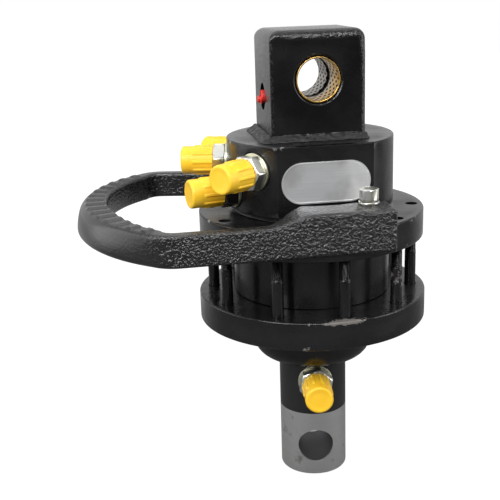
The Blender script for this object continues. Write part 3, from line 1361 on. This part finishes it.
def make_guard(finishes):
    """Hose guard, cut to sit on the flange and round the head, with its two screw holes."""
    flange_low, flange_high = box_of("upper_housing")
    flange_top = flange_low[2] + flange_thickness
    piece = mesh_piece("hose_guard_cast", guard_grid(flange_top))
    middle = upright_at((0.0, 0.0))
    tools = [cylinder("flange", flange_high[0] + guard_seat_gap, guard_bottom - 5 * mm,
                      flange_top + guard_seat_gap, middle, columns_large),
             cylinder("head", head_radius + guard_head_gap, flange_low[2], flange_high[2], middle,
                      columns_large)]
    tools += [cylinder("screw_hole", guard_hole_radius, flange_top - 2 * mm, flange_high[2],
                       upright_at(centre_of(node))) for node in ("front_guard_screw", "rear_guard_screw")]
    cut(piece, tools)
    dress(piece, finishes["guard"], "hose_guard", "housing")


def round_the_ends(grid):
    """Puts rows that draw the section in, for a round rim, in the place of each end's first rows.

    The rim's radius is as long as the rows that it replaces.  A longer one would fold the end
    back over the bar, and the cuts would then leave nothing of the guard.
    """
    ends = []
    for ring, after in ((grid[0], grid[1]), (grid[-1], grid[-2])):
        centre = ring.mean(axis=0)
        inward = unit(after.mean(axis=0) - centre)
        offset = ring - centre
        size = np.linalg.norm(offset, axis=1)[:, None]
        rows = []
        for turn in np.linspace(math.pi / 2, 0, 5):
            inset = guard_end_edge * (1 - math.cos(turn))
            back = guard_end_edge * (1 - math.sin(turn))
            rows.append(centre + offset * (1 - inset / size) + inward * back)
        ends.append(np.array(rows))
    return np.concatenate((ends[0], grid[guard_end_rows:-guard_end_rows], ends[1][::-1]))


# Carried-over nodes, floor, light and camera

def dress_inner_nodes(finishes):
    """Finishes for the model's own solids that keep their shape, which hide inside."""
    kept = {
        "rubber": ["shaft_seal", *numbered("distributor_seal", 3)],
        "bronze": ["lower_bush", "upper_bush"],
        "tool": ["thrust_race", "ball_cage", *numbered("vane", 6)]}
    for finish, nodes in kept.items():
        for node in nodes:
            mesh = bpy.data.objects[node].data
            mesh.materials.clear()
            mesh.materials.append(finishes[finish])


def make_world():
    """White to the camera; to light and reflections a glow, brighter behind the object."""
    world = bpy.data.worlds.new("studio")
    world.use_nodes = True
    bpy.context.scene.world = world
    tree = world.node_tree
    rays = add_node(tree, "LightPath", {})
    seen = add_math(tree, "MAXIMUM", rays["Is Camera Ray"], rays["Is Transmission Ray"])
    glow = mix_value(tree, behind(tree, add_node(tree, "TexCoord", {})["Generated"], -0.3, 0.6), 0.06, 0.72)
    background = tree.nodes["Background"].inputs
    feed(tree, (1.0, 1.0, 1.0), background["Color"])
    feed(tree, add_math(tree, "MAXIMUM", seen, glow), background["Strength"])


def make_floor(low):
    """Large pale disc just under the shaft's end, white to the camera, with the shadow kept."""
    radius = 4.0
    rows = ((radius * 0.2, -5 * mm), (radius, -5 * mm), (radius, 0.0), (radius * 0.2, 0.0))
    grid = in_frame(revolve(rows, round_angles(64)), upright_at((0.0, 0.0), low - floor_gap))
    piece = mesh_piece("floor", grid)
    material, tree, place = start_material("floor_white", (0.16, 0.16, 0.16), 0.9, 0.0, {
        "Specular IOR Level": 0.1, "Emission Color": (1.0, 1.0, 1.0)})
    glow = mix_value(tree, add_step(tree, length_of(tree, place), 0.3, 1.1), 0.88, 1.0)
    rays = add_node(tree, "LightPath", {})
    seen = add_math(tree, "MULTIPLY", rays["Is Camera Ray"], glow)
    mirrored = add_math(tree, "MULTIPLY", behind(tree, place, 0.1, 0.5), 0.35)
    mirrored = add_math(tree, "MULTIPLY", rays["Is Glossy Ray"], mirrored)
    feed(tree, add_math(tree, "MAXIMUM", seen, mirrored),
         tree.nodes["Principled BSDF"].inputs["Emission Strength"])
    piece.data.materials.append(material)
    piece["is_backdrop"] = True


def make_lights():
    """Five soft lamps, each (name, place, size, power), turned towards the object's middle."""
    middle = Vector((-0.03, 0.0, 0.18))
    for name, place, size, power in (
            ("key", (-1.1, -1.0, 1.0), (0.7, 0.7), 18.0),
            ("front", (0.0, -1.2, 1.25), (1.1, 0.45), 18.0),
            ("side", (1.2, -0.5, 0.5), (0.6, 1.4), 9.0),
            ("left", (-1.5, 0.3, 0.6), (1.5, 1.5), 7.5),
            ("top", (0.0, 0.2, 1.5), (1.5, 1.5), 7.0)):
        data = bpy.data.lights.new(name, "AREA")
        data.shape = "RECTANGLE"
        data.size, data.size_y = size
        data.energy = power
        lamp = bpy.data.objects.new(name, data)
        bpy.context.scene.collection.objects.link(lamp)
        lamp.location = place
        lamp.rotation_euler = (middle - Vector(place)).to_track_quat("-Z", "Y").to_euler()


def make_camera():
    """Camera at the photograph's view: turned about Z, tilted down and rolled a little."""
    turn = math.radians(camera_turn)
    tilt = math.radians(camera_tilt)
    roll = math.radians(camera_roll)
    forward = Vector((math.sin(turn) * math.cos(tilt), math.cos(turn) * math.cos(tilt), -math.sin(tilt)))
    level = Vector((math.cos(turn), -math.sin(turn), 0.0))
    above = level.cross(forward)
    right = level * math.cos(roll) + above * math.sin(roll)
    up = above * math.cos(roll) - level * math.sin(roll)
    place = Vector((0.0, 0.0, aim_height)) + level * aim_right + above * aim_up - forward * camera_distance
    data = bpy.data.cameras.new("camera")
    data.sensor_width = 36.0
    data.lens = focal_pixels / image_width * data.sensor_width
    camera = bpy.data.objects.new("camera", data)
    bpy.context.scene.collection.objects.link(camera)
    axes = Matrix((right, up, -forward)).transposed().to_4x4()
    axes.translation = place
    camera.matrix_world = axes
    bpy.context.scene.camera = camera


def main():
    bpy.context.scene.view_settings.view_transform = "Standard"
    make_camera()
    finishes = make_finishes()
    for make in (make_lug, make_lug_bushes, make_weld, make_nipple, make_nipple_cap,
                 make_upper_housing, make_plate, make_cam_ring, make_lower_housing, make_shaft,
                 make_screws, make_ports, make_guard, dress_inner_nodes):
        make(finishes)
    make_world()
    make_lights()
    make_floor(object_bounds()[0][2])


main()
